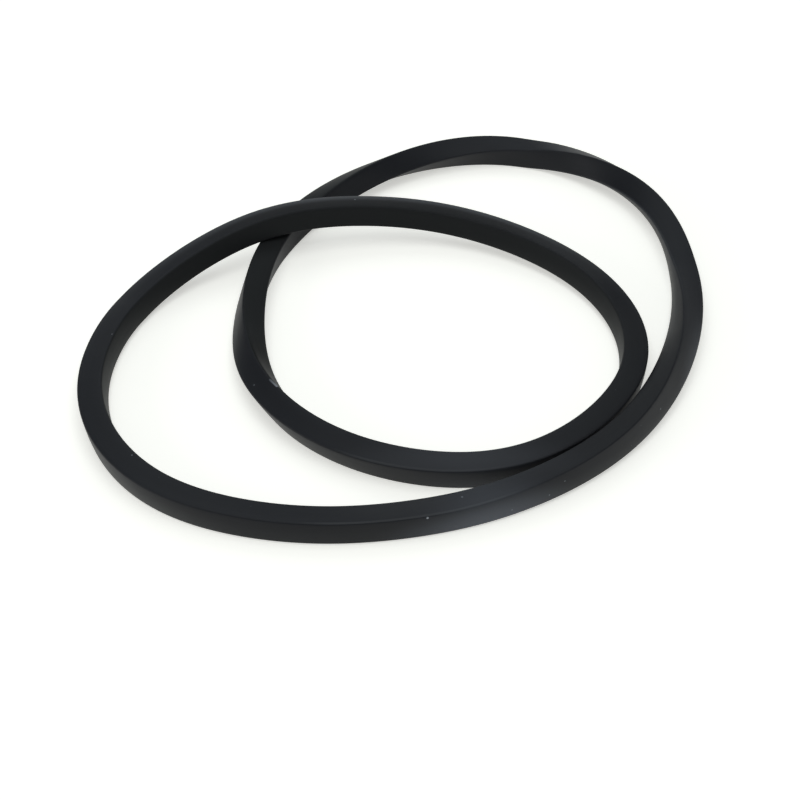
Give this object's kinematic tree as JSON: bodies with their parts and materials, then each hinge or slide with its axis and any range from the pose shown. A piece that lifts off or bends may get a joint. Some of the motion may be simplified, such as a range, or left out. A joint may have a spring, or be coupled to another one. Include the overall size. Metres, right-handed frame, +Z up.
{
  "type": "clutch cover gasket",
  "caption": "Endless black rubber sealing ring of square section for a clutch cover, lying loose and doubled over on itself.",
  "frame": {"origin": "middle of the bounding box, on the plane that the ring lies on", "axes": "+Z up from the surface; +Y runs the long way over the two loops, away from the flat near stretch and towards the far loop; +X to the right seen from the near side"},
  "size_m": [0.2546, 0.2586, 0.0219],
  "materials": {
    "rubber": "smooth moulded black rubber with a low satin sheen"
  },
  "bodies": {
    "root": {"cover_gasket": "rubber"}
  },
  "joints": []
}
